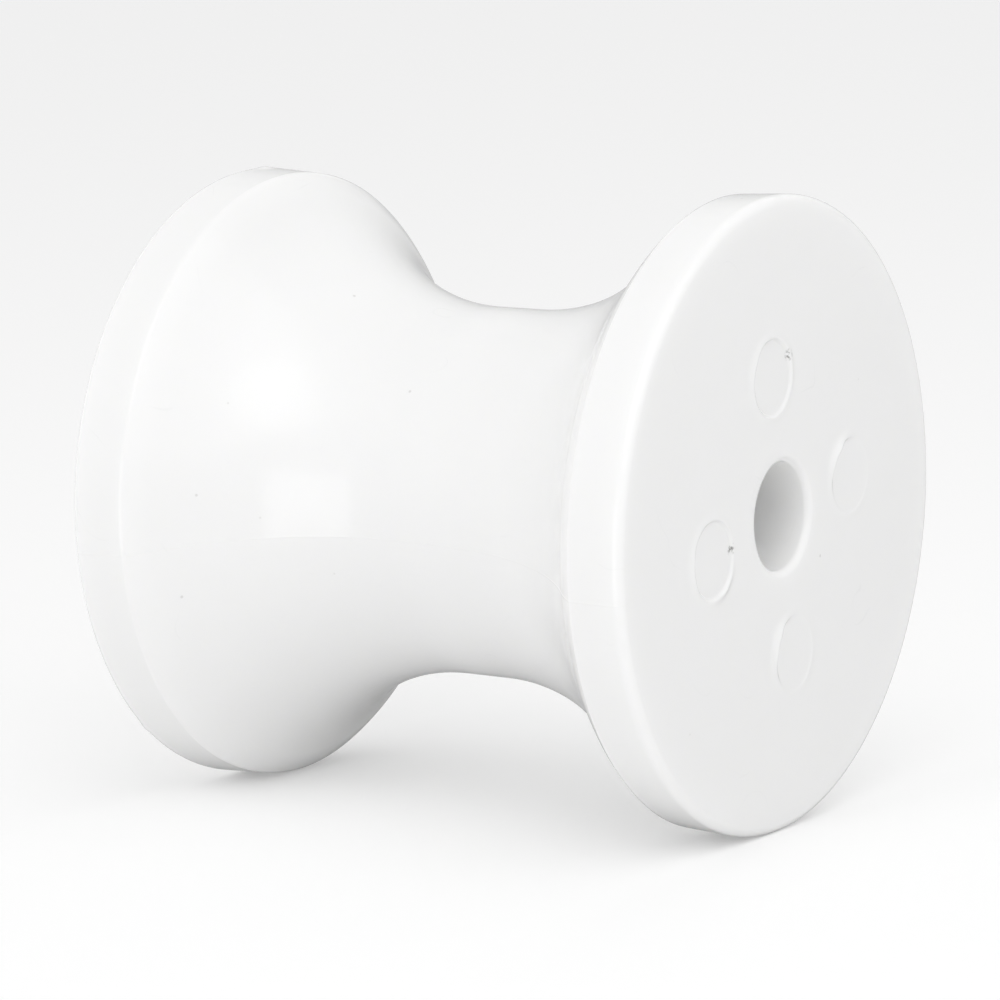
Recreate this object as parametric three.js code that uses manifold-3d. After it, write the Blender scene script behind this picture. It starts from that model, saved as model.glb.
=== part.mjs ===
// A 76 mm bow roller: one solid moulding in white plastic, shaped like an hourglass.
//
// The roller turns on an axle pin that runs through its bore, between the cheeks of a stemhead
// or trailer bracket. The waist guides the rope, chain or keel, and the two flanges keep it in.
// Units are millimetres. The bore's axis is +Y and the origin is the middle of the roller.

import * as THREE from 'three';
import { mergeVertices } from 'three/addons/utils/BufferGeometryUtils.js';
import Module from 'manifold-3d';

// Driving dimensions
const FLANGE_DIAMETER = 76;      // over the rims, at the end faces
const LENGTH = 76;               // end face to end face
const WAIST_DIAMETER = 45;       // the smallest diameter, halfway along
const WAIST_LAND = 6;            // straight stretch at the middle of the waist
const WAIST_CURVE = 32;          // radius of the hollow curve from the waist up to a flange
const FLANK_ANGLE = 52.5;        // steepest slope of that curve, in degrees from the axis
const RIM_WIDTH = 7;             // flat band round each flange
const RIM_DRAFT = 0.3;           // how much the band's radius drops towards the waist
const END_EDGE = 1.1;            // rounding between the band and the end face
const BORE_DIAMETER = 13;        // running fit on a 12 mm or 1/2 inch axle pin
const BORE_MOUTH = 0.9;          // rounding of the bore's two mouths

const WITNESS_DIAMETER = 9.4;    // shallow round marks that the ejector pins leave
const WITNESS_DEPTH = 0.25;
const WITNESS_CIRCLE = 34;       // pitch circle diameter of the four marks
const WITNESS_COUNT = 4;
const WITNESS_TURN = 10;         // degrees from +Z to the first mark

// Facets
const SIDES = 72;                // round the axis, a multiple of four
const WAIST_STEPS = 9;
const SHOULDER_STEPS = 4;
const EDGE_STEPS = 3;
const MARK_SIDES = 24;

const white = { color: 0xf1f2f0, roughness: 0.28, metalness: 0 };

const rad = THREE.MathUtils.degToRad;

// Points of a circular arc about a centre, from one angle to another, as (radius, height).
function arc(centreR, centreY, radius, from, to, steps) {
  return Array.from({ length: steps + 1 }, (_, i) => {
    const a = from + (to - from) * i / steps;
    return new THREE.Vector2(centreR + radius * Math.cos(a), centreY + radius * Math.sin(a));
  });
}

// The outer outline of the half above the middle, from the waist up to the end face.
// The hollow curve leaves the land along the axis and steepens to FLANK_ANGLE. There a short
// shoulder takes over: it bends the other way and ends at the inner edge of the rim band.
function outerHalf() {
  const flangeR = FLANGE_DIAMETER / 2;
  const waistR = WAIST_DIAMETER / 2;
  const steepest = rad(FLANK_ANGLE);
  const endY = LENGTH / 2;
  const rimY = endY - RIM_WIDTH;
  const rimR = flangeR - RIM_DRAFT;

  const hollow = arc(waistR + WAIST_CURVE, WAIST_LAND / 2, WAIST_CURVE,
    Math.PI, Math.PI - steepest, WAIST_STEPS);
  const joinR = waistR + WAIST_CURVE * (1 - Math.cos(steepest));
  const joinY = WAIST_LAND / 2 + WAIST_CURVE * Math.sin(steepest);

  const shallowest = 2 * Math.atan2(rimR - joinR, rimY - joinY) - steepest;
  const shoulderRadius = (rimY - joinY) / (Math.sin(steepest) - Math.sin(shallowest));
  const shoulder = arc(joinR - shoulderRadius * Math.cos(steepest),
    joinY + shoulderRadius * Math.sin(steepest), shoulderRadius,
    -steepest, -shallowest, SHOULDER_STEPS);

  const edge = arc(flangeR - END_EDGE, endY - END_EDGE, END_EDGE, 0, Math.PI / 2, EDGE_STEPS);
  return [...hollow, ...shoulder.slice(1), ...edge];
}

// The bore's outline of the same half, from the end face down to the middle.
function boreHalf() {
  const boreR = BORE_DIAMETER / 2;
  const mouth = arc(boreR + BORE_MOUTH, LENGTH / 2 - BORE_MOUTH, BORE_MOUTH,
    Math.PI / 2, Math.PI, EDGE_STEPS);
  return mouth;
}

// The closed outline of the whole roller, turned once round the axis.
function turnedBody() {
  const upper = [...outerHalf(), ...boreHalf()];
  const lower = upper.map((p) => new THREE.Vector2(p.x, -p.y)).reverse();
  const outline = [...lower, ...upper];
  outline.push(outline[0].clone());
  return new THREE.LatheGeometry(outline, SIDES);
}

// One round recess in the end face, sunk by WITNESS_DEPTH and open above it.
function witnessCutter(index) {
  const angle = rad(WITNESS_TURN) + index * 2 * Math.PI / WITNESS_COUNT;
  const height = 2 * WITNESS_DEPTH;
  const disc = new THREE.CylinderGeometry(WITNESS_DIAMETER / 2, WITNESS_DIAMETER / 2,
    height, MARK_SIDES);
  const pitchR = WITNESS_CIRCLE / 2;
  return disc.translate(pitchR * Math.sin(angle), LENGTH / 2, pitchR * Math.cos(angle));
}

// manifold-3d solids from three.js geometry, and back again.
const wasm = await Module();
wasm.setup();

function solid(geometry) {
  const bare = geometry.clone();
  bare.deleteAttribute('normal');
  bare.deleteAttribute('uv');
  const merged = mergeVertices(bare, 1e-4);
  return new wasm.Manifold(new wasm.Mesh({
    numProp: 3,
    vertProperties: new Float32Array(merged.attributes.position.array),
    triVerts: new Uint32Array(merged.index.array),
  }));
}

function geometryOf(body) {
  const mesh = body.getMesh();
  const geometry = new THREE.BufferGeometry();
  geometry.setAttribute('position', new THREE.BufferAttribute(mesh.vertProperties, 3));
  geometry.setIndex(new THREE.BufferAttribute(mesh.triVerts, 1));
  geometry.computeVertexNormals();
  return geometry;
}

function rollerGeometry() {
  let body = solid(turnedBody());
  for (let index = 0; index < WITNESS_COUNT; index += 1) {
    body = body.subtract(solid(witnessCutter(index)));
  }
  return geometryOf(body);
}

const roller = new THREE.Mesh(rollerGeometry(), new THREE.MeshStandardMaterial(white));
roller.name = 'roller';

const bowRoller = new THREE.Group();
bowRoller.add(roller);

export default bowRoller;
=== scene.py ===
# %% [markdown]
# # A white bow roller
#
# A bow roller sits at the front of a boat or on its trailer, on an axle pin through its bore.
# The rope, chain or keel runs over its waist, and the two flanges keep it there. This one is a
# single moulding in white plastic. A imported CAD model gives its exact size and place, and this
# lesson builds the finely detailed surface that stands in front of that model.
#
# We could give the CAD mesh a new material and stop. But its facets are coarse, and the small
# marks that the mould leaves are too fine for it, so we work the surface out again with numpy.

import math

import bmesh
import bpy
import numpy as np
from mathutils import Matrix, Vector


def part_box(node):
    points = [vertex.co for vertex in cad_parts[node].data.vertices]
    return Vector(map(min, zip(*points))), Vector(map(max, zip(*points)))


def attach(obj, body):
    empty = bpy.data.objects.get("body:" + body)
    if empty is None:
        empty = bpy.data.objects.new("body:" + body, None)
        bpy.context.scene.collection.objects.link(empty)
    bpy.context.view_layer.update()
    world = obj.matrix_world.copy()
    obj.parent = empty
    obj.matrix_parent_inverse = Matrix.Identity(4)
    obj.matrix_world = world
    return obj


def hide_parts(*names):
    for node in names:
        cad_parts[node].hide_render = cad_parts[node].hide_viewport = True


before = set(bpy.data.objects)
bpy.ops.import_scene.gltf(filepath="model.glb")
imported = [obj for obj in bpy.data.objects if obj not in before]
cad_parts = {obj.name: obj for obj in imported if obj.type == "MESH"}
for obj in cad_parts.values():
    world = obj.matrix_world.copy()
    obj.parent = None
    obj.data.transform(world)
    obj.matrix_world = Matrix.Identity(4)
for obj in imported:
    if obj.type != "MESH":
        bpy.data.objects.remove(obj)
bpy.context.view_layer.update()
scene = bpy.context.scene
MM = 0.001                       # the lesson works in millimetres and turns them to metres

low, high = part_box("roller")
END_Y = high.y / MM              # half the length
FLANGE_R = high.z / MM           # radius over the rims
print("half length", round(END_Y, 3), "mm, flange radius", round(FLANGE_R, 3), "mm")

# %% [markdown]
# ## The camera
#
# A long lens from half a metre shows a small product without stretching its near end. We look
# slightly down on the roller and past one end face, so the waist, both flanges and the bore show.

# %% Place the camera
camera_data = bpy.data.cameras.new("camera")
camera_data.sensor_width = 36.0
camera_data.lens = 170.87
camera_data.clip_start, camera_data.clip_end = 0.01, 50.0
camera = bpy.data.objects.new("camera", camera_data)
camera.location = Vector((487.06, 301.44, 83.68)) * MM
look_at = Vector((0.70, -0.86, -0.95)) * MM
camera.rotation_euler = (look_at - camera.location).to_track_quat("-Z", "Y").to_euler()
scene.collection.objects.link(camera)
scene.camera = camera
print("camera is", round((look_at - camera.location).length / MM), "mm away")

# %% [markdown]
# ## The outline
#
# A roller like this is turned or moulded round an axis, so its whole shape is one outline swung
# round that axis. We write the outline as pairs of radius and height. Each stretch is a straight
# line or a circular arc, as on a drawing, and the sizes are the drawing's sizes.

# %% Sizes of the outline
WAIST_R = 22.5           # smallest radius, halfway along
WAIST_LAND = 6.0         # straight stretch in the middle of the waist
HOLLOW_R = 32.0          # radius of the hollow curve between the waist and a flange
STEEPEST = math.radians(52.5)    # steepest slope of that curve, from the axis
RIM_WIDTH = 7.0          # flat band round each flange
RIM_DRAFT = 0.3          # the band's radius drops by this much towards the waist
END_EDGE = 1.1           # rounding of the outer edge of each end face
BORE_R = 6.5
BORE_MOUTH = 0.9         # rounding of the bore's mouths
MARK_ZONE = (10.4, 23.6)  # radii of the ring of the end face that holds the moulding marks

# How many steps each stretch of the outline has
LAND_STEPS, HOLLOW_STEPS, SHOULDER_STEPS, BAND_STEPS, EDGE_STEPS = 3, 26, 12, 20, 8
OUTER_STEPS, PLAIN_STEPS, BORE_STEPS, INNER_STEPS = 9, 14, 16, 2


def line(start, end, steps):
    """Points start + (end - start) * t, for t from 0 to 1 in equal steps."""
    start, end = np.asarray(start, float), np.asarray(end, float)
    t = np.linspace(0, 1, steps + 1)[:, None]
    return start + (end - start) * t


def arc(centre, radius, start, end, steps):
    """Points centre + radius * (cos a, sin a), for a from start to end in equal steps."""
    a = np.linspace(start, end, steps + 1)
    return np.asarray(centre, float) + radius * np.stack([np.cos(a), np.sin(a)], axis=1)


def chain(*parts):
    """The parts one after another, each without its first point where it repeats the last."""
    return np.concatenate([parts[0]] + [p[1:] for p in parts[1:]])


# %% Draw one half of the outline
def outer_half():
    """From the middle of the waist to the outer edge of the end face, as (radius, y).

    The land is straight. The hollow turns away from the axis about a centre outside the roller
    until its slope is STEEPEST. The shoulder turns back about a centre inside it and ends at the
    inner edge of the rim. Its radius is the one for which both arcs share a tangent.
    """
    rim_y, rim_r = END_Y - RIM_WIDTH, FLANGE_R - RIM_DRAFT
    join_r = WAIST_R + HOLLOW_R * (1 - math.cos(STEEPEST))
    join_y = WAIST_LAND / 2 + HOLLOW_R * math.sin(STEEPEST)
    shallowest = 2 * math.atan2(rim_r - join_r, rim_y - join_y) - STEEPEST
    shoulder_r = (rim_y - join_y) / (math.sin(STEEPEST) - math.sin(shallowest))
    land = line((WAIST_R, 0), (WAIST_R, WAIST_LAND / 2), LAND_STEPS)
    hollow = arc((WAIST_R + HOLLOW_R, WAIST_LAND / 2), HOLLOW_R,
                 math.pi, math.pi - STEEPEST, HOLLOW_STEPS)
    shoulder = arc((join_r - shoulder_r * math.cos(STEEPEST),
                    join_y + shoulder_r * math.sin(STEEPEST)), shoulder_r,
                   -STEEPEST, -shallowest, SHOULDER_STEPS)
    band = line((rim_r, rim_y), (FLANGE_R, END_Y - END_EDGE), BAND_STEPS)
    edge = arc((FLANGE_R - END_EDGE, END_Y - END_EDGE), END_EDGE, 0, math.pi / 2, EDGE_STEPS)
    print("shoulder radius", round(shoulder_r, 2), "mm, slope at the rim",
          round(math.degrees(shallowest), 1), "degrees")
    return chain(land, hollow, shoulder, band, edge)


def mouth():
    """The bore's rounded mouth, from the end face down into the bore, as (radius, y)."""
    return arc((BORE_R + BORE_MOUTH, END_Y - BORE_MOUTH), BORE_MOUTH,
               math.pi / 2, math.pi, EDGE_STEPS)


DOWN = (1, -1)           # turns an outline's point to the other half
half = outer_half()
face_r = FLANGE_R - END_EDGE
mouth_r = BORE_R + BORE_MOUTH
outer_face = line((MARK_ZONE[1], END_Y), (face_r, END_Y), OUTER_STEPS)
plain_face = line((face_r, -END_Y), (mouth_r, -END_Y), PLAIN_STEPS)
bore = line((BORE_R, -END_Y + BORE_MOUTH), (BORE_R, END_Y - BORE_MOUTH), BORE_STEPS)
inner_face = line((mouth_r, END_Y), (MARK_ZONE[0], END_Y), INNER_STEPS)
outline = chain(outer_face, half[::-1], half * DOWN, plain_face, mouth() * DOWN, bore,
                mouth()[::-1], inner_face)
print(len(outline), "points along the outline")

# %% [markdown]
# ## The angles
#
# The outline is drawn again at each of about 340 angles. Even steps would do for the round
# shape. A mould's two halves leave a fine raised line where they meet, so the angles are packed
# closer together there, and the line can be a real ridge of the surface.

# %% Choose the angles
MARK_TURN = math.radians(10)     # from +Z to the first moulding mark
MARK_STEP = math.pi / 2
SPLIT = math.radians(98.3)       # where the mould's halves meet, and again half a turn away
STEPS_PER_MARK = 80
FINE = np.radians([-0.55, -0.35, -0.22, -0.13, -0.06, 0, 0.06, 0.13, 0.22, 0.35, 0.55])
FINE_REACH = np.radians(0.6)     # no even angle lies this close to where the halves meet


def turn_between(a, b):
    """Angle from b to a, brought into the range -pi to pi."""
    return (a - b + math.pi) % (2 * math.pi) - math.pi


def sector_angles(index):
    """Angles of one quarter of the roller, centred on mark number index, ends included."""
    middle = MARK_TURN + index * MARK_STEP
    even = np.linspace(middle - MARK_STEP / 2, middle + MARK_STEP / 2, STEPS_PER_MARK + 1)
    for split in (SPLIT, SPLIT + math.pi):
        turn = turn_between(split, middle)
        if abs(turn) < MARK_STEP / 2:
            centre = middle + turn
            far = np.abs(even - centre) > FINE_REACH
            even = np.sort(np.concatenate([even[far], centre + FINE]))
    return even


sectors = [sector_angles(index) for index in range(4)]
angles = np.concatenate([s[:-1] for s in sectors])
print(len(angles), "angles round the axis")

# %% [markdown]
# ## Small unevenness
#
# A thick moulding shrinks as it cools, so its faces are never quite true. A few long, very low
# waves give that, and they show only in how a reflection bends. We add sine waves that run in
# seeded directions, because a sum of sines has the same value wherever two surfaces meet.

# %% Waves of the surface
def waves(points, wavelength, seed, count=7):
    """Mean of sine waves at points (mm): sin(2 pi (direction . point) / length + phase).

    Directions are spread over the sphere, and lengths lie within a quarter of wavelength.
    """
    rng = np.random.default_rng(seed)
    directions = rng.normal(size=(count, 3))
    directions /= np.linalg.norm(directions, axis=1, keepdims=True)
    lengths = wavelength * rng.uniform(0.8, 1.25, count)
    phases = rng.uniform(0, 2 * math.pi, count)
    return np.sin(points @ (2 * math.pi * directions / lengths[:, None]).T + phases).mean(-1)


WAVE_HEIGHT = 0.05       # in mm


def unevenness(points):
    """Height in mm of the long waves and of shorter, lower ones, at points."""
    return WAVE_HEIGHT * waves(points, 24, 3) + 0.25 * WAVE_HEIGHT * waves(points, 7, 4)


def bell(distance, width):
    """A smooth bump of height one: exp(-(distance / width) squared)."""
    return np.exp(-(distance / width) ** 2)


# %% [markdown]
# ## The skin
#
# The skin is a grid. One parameter runs along the outline and the other round the axis. Every
# point is then pushed along its normal by the sum of the small things. They are the waves, the
# raised line where the mould's halves met, a thin flash along part of the plain end's rim, at its
# inner edge, and a few snags, which are small raised spots on the rims, the flanks and the waist.

# %% Turn the outline round the axis
SPLIT_HEIGHT = 0.02      # the raised line, in mm
SPLIT_WIDTH = 0.13       # and its half width, in degrees
SPLIT_DRIFT = 0.003      # the line wanders to either side by this angle, in radians,
SPLIT_BEND = 9           # as the sine of y divided by this many mm
FLASH_HEIGHT = 0.03      # the flash, in mm
FLASH_WIDTH = 0.3
FLASH_MIDDLE, FLASH_REACH = 124, 26      # where it runs round the rim, in degrees
WOBBLE = 0.5             # how unevenly high the line and the flash are
END_MARGIN = 0.02        # the line and the snags stop this far from the end faces, in mm
SNAGS = [                # (angle in degrees, y, height, length along y, width) in mm
    (-2, -36.6, 0.22, 1.5, 2.6), (140, -37.4, 0.16, 0.6, 1.6), (153.8, -30.5, 0.10, 0.5, 0.8),
    (6.3, 10.5, 0.12, 0.35, 0.5), (130, 23.3, 0.10, 0.4, 0.8), (30.3, 3.6, 0.07, 0.4, 0.4),
    (70.8, -33.1, 0.06, 0.4, 0.5), (110.7, -33.6, 0.06, 0.4, 0.5), (3.5, 37.6, 0.14, 0.5, 2.4)]


def at(angle, radius, y):
    """Points (radius sin angle, y, radius cos angle): angle turns from +Z towards +X."""
    return np.stack([radius * np.sin(angle), y + 0 * angle, radius * np.cos(angle)], axis=-1)


def normals_of(points):
    """Unit normals (radius, y) of the outline: its tangent turned a quarter to the left."""
    tangent = np.gradient(points, axis=0)
    tangent /= np.linalg.norm(tangent, axis=1, keepdims=True)
    return np.stack([-tangent[:, 1], tangent[:, 0]], axis=1)


def skin(points, angles):
    """Grid over (outline point, angle): outline point + normal * height of the small things."""
    radius, y = points[:, :1], points[:, 1:]
    normal = normals_of(points)
    normal[[0, -1]] = (0, 1)             # both ends of the outline lie in the marked end face
    angle = angles[None, :] + 0 * radius
    base = at(angle, radius + 0 * angle, y + 0 * angle)
    outer = (radius > mouth_r) & (np.abs(y) < END_Y - END_MARGIN)
    height = unevenness(base)
    wobble = 1 + WOBBLE * waves(base, 6, 5)
    for split in (SPLIT, SPLIT + math.pi):
        away = np.degrees(turn_between(angle, split + SPLIT_DRIFT * np.sin(y / SPLIT_BEND)))
        height = height + outer * SPLIT_HEIGHT * wobble * bell(away, SPLIT_WIDTH)
    flash = bell(np.degrees(turn_between(angle, math.radians(FLASH_MIDDLE))), FLASH_REACH)
    flash = flash * bell(y + END_Y - RIM_WIDTH, FLASH_WIDTH)
    height = height + FLASH_HEIGHT * flash * wobble
    for turn, along, tall, length, width in SNAGS:
        across = turn_between(angle, math.radians(turn)) * radius
        height = height + outer * tall * bell(across, width / 2) * bell(y - along, length / 2)
    out = normal[:, None, :] * height[..., None]
    return at(angle, radius + out[..., 0], y + out[..., 1])


surface = skin(outline, angles)
print("skin grid", surface.shape[:2])

# %% [markdown]
# ## The moulding marks
#
# Four round pins push the finished roller out of its mould. Each leaves a shallow round mark in
# the end face, ringed by a thin lip where plastic crept round the pin. The lips are uneven: two
# run most of the way round, and the other two show mainly on one side.
#
# Cutting these into the face with a boolean would leave long thin triangles. Instead each quarter
# of the ring between the bore and the rim gets its own grid of rings, round at the mark and
# stretched to the quarter's own border outside, so every edge follows the mark.

# %% One mark's lip and floor
MARK_R = 4.7
MARK_CIRCLE_R = 17.0
WALL_INSET, WALL_WIDTH = 0.15, 0.06      # the wall of the sunk floor lies just inside the lip
LIP_INSIDE, LIP_OUTSIDE = 0.22, 0.6      # how far the lip runs out to either side
LIP_WANDER = 0.15        # how far the lip strays from its circle
LIP_ROUGHNESS = 0.3      # how unevenly high the lip is
LIP_LOOP = 9             # radius in mm of the circle along which the lip reads its waves
MARKS = [                # floor's depth, then the lip's (height, direction, spread), mm and degrees
    (0.20, [(0.26, 65, 55), (0.08, 180, 60), (0.12, -70, 40)]),
    (0.16, [(0.24, 95, 50), (0.26, -150, 34), (0.07, 0, 50)]),
    (0.02, [(0.50, 70, 40), (0.04, -120, 50)]),
    (0.02, [(0.55, 50, 36), (0.04, 180, 50)])]


def mark_height(away, direction, floor, lips, seed):
    """Height of the face round one mark, from the distance and direction to its centre.

    A sunk floor with a steep wall, plus a lip on the circle of radius MARK_R. The lip is steep
    inside and runs out gently. Its height is a sum of bells over direction, roughened by waves.
    """
    sunk = -floor / (1 + np.exp((away - MARK_R + WALL_INSET) / WALL_WIDTH))
    lip = sum(h * bell(np.degrees(turn_between(direction, math.radians(d))), spread)
              for h, d, spread in lips)
    loop = [LIP_LOOP * np.cos(direction), LIP_LOOP * np.sin(direction), 0 * direction]
    ring = np.stack(loop, axis=-1)
    rough = 1 + LIP_ROUGHNESS * waves(ring, 5, seed)
    across = away - MARK_R - LIP_WANDER * waves(ring, 7, seed + 20)
    return sunk + lip * rough * bell(across, np.where(across > 0, LIP_OUTSIDE, LIP_INSIDE))


# %% Grids of rings round the marks
RING_R = np.concatenate([         # radii of the rings, close together at the lip
    [0.5, 1.2, 2.0, 2.8, 3.5, 4.0], np.arange(4.2, 5.3, 0.1), [5.5, 5.7, 5.9, 6.2, 6.5]])
SIDE_STEPS = 26          # along the border between two quarters
SPREAD_STEPS = 8         # from the last ring out to the border


def quarter_border(angles):
    """The closed border of one quarter of the ring: outer arc, side, inner arc, side."""
    inner, outer = MARK_ZONE
    side = np.linspace(outer, inner, SIDE_STEPS + 1)
    radius = np.concatenate([np.full(len(angles) - 1, outer), side[:-1],
                             np.full(len(angles) - 1, inner), side[::-1][:-1]])
    angle = np.concatenate([angles[:-1], np.full(SIDE_STEPS, angles[-1]),
                            angles[::-1][:-1], np.full(SIDE_STEPS, angles[0])])
    return radius, angle


def mark_grid(index):
    """Rings round mark index: circles up to the last of RING_R, then straight to the border."""
    radius, angle = quarter_border(sectors[index])
    border = np.stack([radius * np.sin(angle), radius * np.cos(angle)], axis=1)
    turn = MARK_TURN + index * MARK_STEP
    centre = MARK_CIRCLE_R * np.array([math.sin(turn), math.cos(turn)])
    reach = border - centre
    outward = reach / np.linalg.norm(reach, axis=1, keepdims=True)
    circles = centre + RING_R[:, None, None] * outward
    t = np.linspace(0, 1, SPREAD_STEPS + 1)[1:, None, None]
    spread = circles[-1] * (1 - t) + border * t
    flat = np.concatenate([circles, spread])
    away = np.linalg.norm(flat - centre, axis=-1)
    direction = np.arctan2(flat[..., 0] - centre[0], flat[..., 1] - centre[1])
    base = np.stack([flat[..., 0], np.full_like(away, END_Y), flat[..., 1]], axis=-1)
    height = unevenness(base) + mark_height(away, direction, *MARKS[index], 30 + index)
    base[..., 1] += height
    return base


mark_grids = [mark_grid(index) for index in range(4)]
print("mark grids", [g.shape[:2] for g in mark_grids])

# %% [markdown]
# ## One closed mesh
#
# The skin and the four mark grids share the points of their borders. We list each grid's
# four-sided faces, close the middle of every mark with a fan of triangles, join the points that
# coincide, and turn all faces outward.

# %% Join the grids into the roller
WELD = 2e-6              # points closer than this, in metres, become one


def grid_faces(rows, columns, first=0):
    """Corner numbers of the faces of a grid that closes round its columns."""
    row, column = np.mgrid[0:rows - 1, 0:columns]
    after = (column + 1) % columns
    corners = [row * columns + column, row * columns + after,
               (row + 1) * columns + after, (row + 1) * columns + column]
    return np.stack(corners, axis=-1).reshape(-1, 4) + first


def make_roller(name):
    """The whole roller as one closed mesh, in metres."""
    points = [surface.reshape(-1, 3)]
    faces = grid_faces(*surface.shape[:2]).tolist()
    count = len(points[0])
    for grid in mark_grids:
        rows, columns = grid.shape[:2]
        faces += grid_faces(rows, columns, count).tolist()
        pole = count + rows * columns
        ring = np.arange(columns)
        fan = np.stack([ring + count, (ring + 1) % columns + count, 0 * ring + pole], axis=1)
        faces += fan.tolist()
        points += [grid.reshape(-1, 3), grid[0].mean(0, keepdims=True)]
        count = pole + 1
    mesh = bpy.data.meshes.new(name)
    mesh.from_pydata((np.concatenate(points) * MM).tolist(), [], faces)
    work = bmesh.new()
    work.from_mesh(mesh)
    bmesh.ops.remove_doubles(work, verts=work.verts, dist=WELD)
    bmesh.ops.recalc_face_normals(work, faces=work.faces)
    open_edges = sum(not e.is_manifold for e in work.edges)
    work.to_mesh(mesh)
    work.free()
    mesh.polygons.foreach_set("use_smooth", np.ones(len(mesh.polygons), bool))
    print(name, len(mesh.vertices), "points,", len(mesh.loops) - 2 * len(mesh.polygons),
          "triangles,", open_edges, "open edges")
    return bpy.data.objects.new(name, mesh)


roller = make_roller("roller_moulding")
scene.collection.objects.link(roller)
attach(roller, "root")
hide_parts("roller")

# %% [markdown]
# ## The plastic
#
# Rollers of this kind are injection moulded in white nylon or polyethylene. The surface is
# smooth and glossy. Light enters it a little way and comes out softened, so shadows on it stay
# milky, and that is why the shader has some subsurface scattering. Storage and handling leave
# faint scuffs, a few specks of dark material are moulded in, and beside two of the marks the
# resin is scorched. These are too small to model, so they are patterns in the colour.

# %% Colours and a helper for nodes
def linear(hex_colour):
    """An sRGB colour written #RRGGBB as linear red, green, blue and one for alpha."""
    channels = np.array([int(hex_colour[i:i + 2], 16) for i in (1, 3, 5)]) / 255
    turned = np.where(channels <= 0.04045, channels / 12.92, ((channels + 0.055) / 1.055) ** 2.4)
    return (*turned.tolist(), 1.0)


def node(tree, kind, settings=None, **links):
    """Adds a node, sets its properties, and fills its inputs with values or other outputs.

    A key is an input's name, with _ for a space, or i and a number for the input's number.
    """
    made = tree.nodes.new(kind)
    for key, value in (settings or {}).items():
        setattr(made, key, value)
    for key, value in links.items():
        by_number = key[0] == "i" and key[1:].isdigit()
        socket = made.inputs[int(key[1:]) if by_number else key.replace("_", " ")]
        if isinstance(value, bpy.types.NodeSocket):
            tree.links.new(value, socket)
        else:
            socket.default_value = value
    return made


# %% Helpers for patterns
def place(tree):
    """The object's own coordinates, which patterns keep to when the roller moves."""
    return node(tree, "ShaderNodeTexCoord").outputs["Object"]


def noise(tree, size, detail=2.0):
    """Smooth noise between 0 and 1, with features of about size mm."""
    return node(tree, "ShaderNodeTexNoise", Vector=place(tree), Scale=1 / (size * MM),
                Detail=detail, Roughness=0.5).outputs["Fac"]


def ramp(tree, value, start, end, at_start=0.0, at_end=1.0):
    """A straight line from at_start, where value is start, to at_end, where it is end."""
    return node(tree, "ShaderNodeMapRange", Value=value, i1=start, i2=end, i3=at_start,
                i4=at_end).outputs[0]


def times(tree, first, second):
    """The product of two values."""
    return node(tree, "ShaderNodeMath", {"operation": "MULTIPLY"}, i0=first, i1=second).outputs[0]


def blend(tree, amount, first, second):
    """A mix of two colours: the first where amount is 0, the second where it is 1."""
    return node(tree, "ShaderNodeMix", {"data_type": "RGBA"}, i0=amount, i6=first,
                i7=second).outputs[2]


# %% Wear and dirt
SPECK_AMOUNT, SCORCH_AMOUNT, SCUFF_AMOUNT = 0.2, 0.75, 0.13      # how strongly each colours
SCORCHED = [             # middles of the scorched spots beside two of the marks, in mm
    (-0.99, 38.0, 19.11), (12.52, 38.0, -2.13)]


def hairlines(tree):
    """Fine scuffs: where one noise crosses its middle value, but only where another is high."""
    level = noise(tree, 13, 1.0)
    line_of_noise = times(tree, ramp(tree, level, 0.4965, 0.5), ramp(tree, level, 0.5035, 0.5))
    return times(tree, line_of_noise, ramp(tree, noise(tree, 7), 0.56, 0.66))


def specks(tree):
    """Dark grains in the resin: one cell in six of a Voronoi pattern holds one at its middle."""
    cells = node(tree, "ShaderNodeTexVoronoi", Vector=place(tree), Scale=1 / (4.5 * MM))
    chance = node(tree, "ShaderNodeSeparateColor", i0=cells.outputs["Color"]).outputs[0]
    return times(tree, ramp(tree, cells.outputs["Distance"], 0.055, 0.03),
                 ramp(tree, chance, 0.84, 0.85))


def scorching(tree, spot):
    """Broken dark flecks round a spot, where trapped air burnt the resin beside a pin."""
    gap = node(tree, "ShaderNodeVectorMath", {"operation": "DISTANCE"}, i0=place(tree),
               i1=Vector(spot) * MM).outputs["Value"]
    return times(tree, ramp(tree, gap, 0.9 * MM, 0.2 * MM),
                 ramp(tree, noise(tree, 0.5), 0.5, 0.62))


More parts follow.
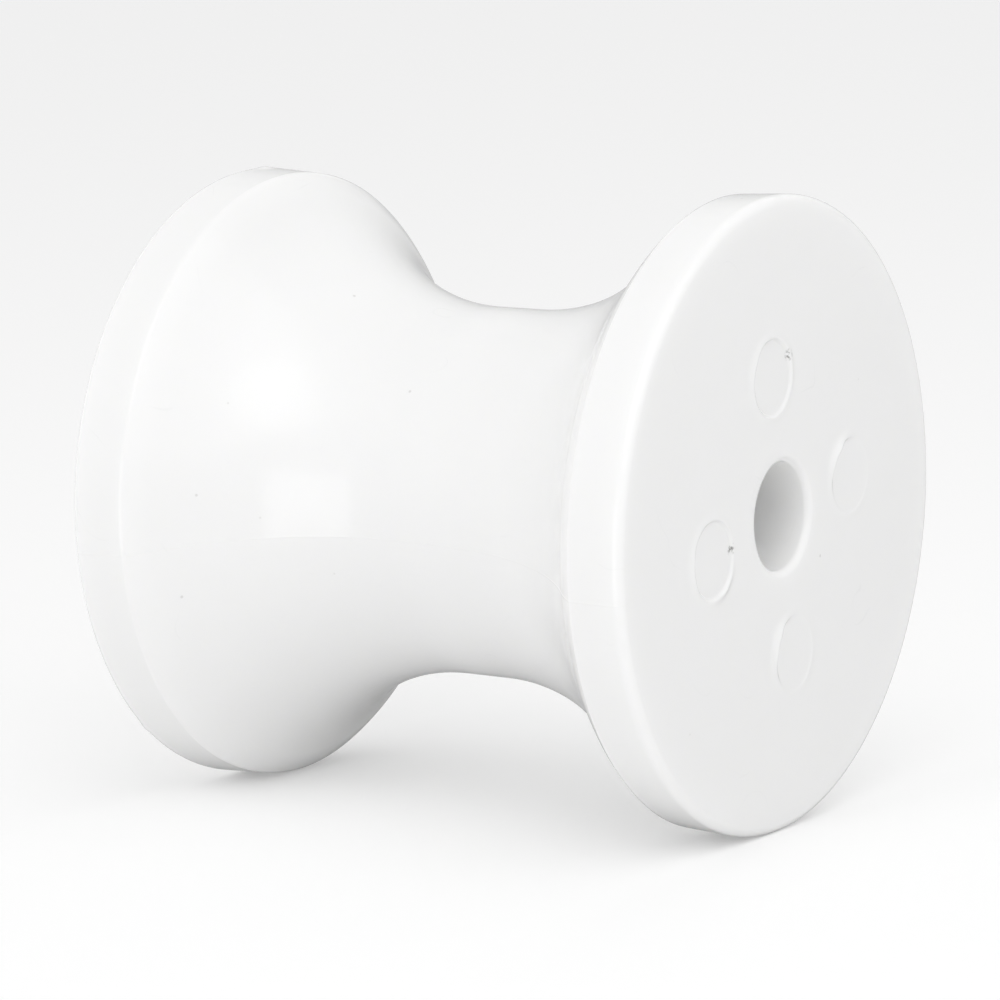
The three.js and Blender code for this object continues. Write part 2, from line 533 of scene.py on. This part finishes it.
# %% Moulded white plastic
def moulded_white_plastic():
    """Glossy white nylon or polyethylene as it leaves a polished mould, lightly handled."""
    material = bpy.data.materials.new("moulded_white_plastic")
    material.use_nodes = True
    tree = material.node_tree
    tree.nodes.clear()

    # Resin never mixes quite evenly, and faint clouds keep the white from looking computed.
    colour = blend(tree, noise(tree, 16), linear("#FAFAF9"), linear("#FCFCFC"))
    colour = blend(tree, times(tree, specks(tree), SPECK_AMOUNT), colour, linear("#6E6A62"))
    for spot in SCORCHED:
        burnt = times(tree, scorching(tree, spot), SCORCH_AMOUNT)
        colour = blend(tree, burnt, colour, linear("#55524C"))
    scuffed = times(tree, hairlines(tree), SCUFF_AMOUNT)
    colour = blend(tree, scuffed, colour, linear("#D9DADA"))

    # The mould's polish varies a little, so the gloss does too.
    gloss = ramp(tree, noise(tree, 5), 0, 1, 0.10, 0.17)

    plastic = node(tree, "ShaderNodeBsdfPrincipled", Base_Color=colour, Roughness=gloss)
    plastic.inputs["IOR"].default_value = 1.5
    # Light that scatters about 2 mm deep makes the shadows milky.
    plastic.inputs["Subsurface Weight"].default_value = 0.55
    plastic.inputs["Subsurface Radius"].default_value = (1.0, 1.0, 0.95)
    plastic.inputs["Subsurface Scale"].default_value = 2.2 * MM
    node(tree, "ShaderNodeOutputMaterial", Surface=plastic.outputs[0])
    print(material.name, "has", len(tree.nodes), "nodes")
    return material


roller.data.materials.append(moulded_white_plastic())

# %% [markdown]
# ## Floor and light
#
# A white product on white needs light from all round, and a little shape from where that light is
# stronger. Such things are shot on a shooting table: a sheet of white acrylic with some light from
# below, so the sheet stays white and the shadow on it stays soft.

# %% The floor
def flat_sheet(name, width, height, z=0.0):
    """A mesh with one face: a rectangle about the origin, at that z."""
    mesh = bpy.data.meshes.new(name)
    x, y = width / 2, height / 2
    mesh.from_pydata([(-x, -y, z), (x, -y, z), (x, y, z), (-x, y, z)], [], [(0, 1, 2, 3)])
    return mesh


def shooting_table(size, z):
    """A flat square sheet of white acrylic at height z, softly lit from below."""
    sheet = bpy.data.objects.new("shooting_table", flat_sheet("shooting_table", size, size, z))
    acrylic = bpy.data.materials.new("matt_white_acrylic")
    acrylic.use_nodes = True
    shader = acrylic.node_tree.nodes["Principled BSDF"]
    shader.inputs["Base Color"].default_value = linear("#EFEFEF")
    shader.inputs["Roughness"].default_value = 0.9
    shader.inputs["Specular IOR Level"].default_value = 0.1
    shader.inputs["Emission Color"].default_value = linear("#FFFFFF")
    shader.inputs["Emission Strength"].default_value = 0.14
    sheet.data.materials.append(acrylic)
    sheet.visible_glossy = False      # the square card reaches below the table's level
    scene.collection.objects.link(sheet)


TABLE_SIZE = 12.0        # in metres
shooting_table(TABLE_SIZE, low.z)
print("table at z", round(low.z / MM, 2), "mm")

# %% [markdown]
# ## Glows and soft boxes
#
# A studio's walls and ceiling give wide, soft glows. We write the world's brightness as a sum of
# such glows, each one a power of the cosine of the angle from its middle. Where the table ends,
# the camera itself sees one pale tone that is close to the table's far end.
#
# Two soft boxes and a card add shape. The round box and the square card show as pale patches in
# the glossy flank, and the wide box lights the marked end.

# %% The world's glows
def toward(azimuth, elevation):
    """The direction of azimuth and elevation: 0 is against +Y, 90 is +X, and up is +Z."""
    a, e = math.radians(azimuth), math.radians(elevation)
    return Vector((math.sin(a) * math.cos(e), -math.cos(a) * math.cos(e), math.sin(e)))


GLOWS = [                # (azimuth, elevation, brightness, power) of each glow
    (2, 0, 1.15, 3), (122, 0, 0.56, 1), (62, 35, 0.38, 3), (122, 70, 0.62, 3),
    (242, 35, 0.75, 3), (302, 35, 0.5, 3)]
BACKDROP = 0.87          # the brightness that the camera sees

world = bpy.data.worlds.new("studio")
scene.world = world
world.use_nodes = True
tree = world.node_tree
direction = node(tree, "ShaderNodeTexCoord").outputs["Generated"]
total = None
for azimuth, elevation, brightness, power in GLOWS:
    cosine = node(tree, "ShaderNodeVectorMath", {"operation": "DOT_PRODUCT"}, i0=direction,
                  i1=toward(azimuth, elevation)).outputs["Value"]
    facing = node(tree, "ShaderNodeMath", {"operation": "MAXIMUM"}, i0=cosine, i1=0.0).outputs[0]
    wide = node(tree, "ShaderNodeMath", {"operation": "POWER"}, i0=facing, i1=power).outputs[0]
    total = node(tree, "ShaderNodeMath", {"operation": "MULTIPLY_ADD"}, i0=wide, i1=brightness,
                 i2=0.0 if total is None else total).outputs[0]
seen = node(tree, "ShaderNodeLightPath").outputs["Is Camera Ray"]
strength = node(tree, "ShaderNodeMix", {"data_type": "FLOAT"}, i0=seen, i2=total, i3=BACKDROP)
tree.links.new(strength.outputs[0], tree.nodes["Background"].inputs["Strength"])
tree.nodes["Background"].inputs["Color"].default_value = linear("#FFFFFF")
print(len(GLOWS), "glows")

# %% The soft boxes and the card
HANG_DISTANCE = 0.9      # from the roller's middle, in metres


def hang(thing, azimuth, elevation):
    """Puts a light or card in that direction from the roller's middle, facing it."""
    back = toward(azimuth, elevation)
    thing.location = back * HANG_DISTANCE
    thing.rotation_euler = (-back).to_track_quat("-Z", "Y").to_euler()
    scene.collection.objects.link(thing)


def soft_box(name, width, brightness):
    """A round area light of that brightness, in the world's units."""
    data = bpy.data.lights.new(name, "AREA")
    data.shape = "DISK"
    data.size = width
    data.energy = brightness * math.pi * math.pi * (width / 2) ** 2
    return bpy.data.objects.new(name, data)


def reflector_card(name, width, height, brightness):
    """A bright sheet that only shows in reflections."""
    glow = bpy.data.materials.new(name)
    glow.use_nodes = True
    glow.node_tree.nodes.clear()
    light = node(glow.node_tree, "ShaderNodeEmission", Strength=brightness)
    node(glow.node_tree, "ShaderNodeOutputMaterial", Surface=light.outputs[0])
    glow.cycles.emission_sampling = "NONE"
    card = bpy.data.objects.new(name, flat_sheet(name, width, height))
    card.data.materials.append(glow)
    card.visible_camera = card.visible_diffuse = card.visible_shadow = False
    return card


round_box = soft_box("round_box", width=0.58, brightness=0.7)
wide_box = soft_box("wide_box", width=1.3, brightness=0.42)
square_card = reflector_card("square_card", width=0.58, height=0.53, brightness=1.8)
hang(round_box, azimuth=117, elevation=43)
hang(wide_box, azimuth=156, elevation=40)
hang(square_card, azimuth=92, elevation=-6.5)
scene.view_settings.view_transform = "Standard"
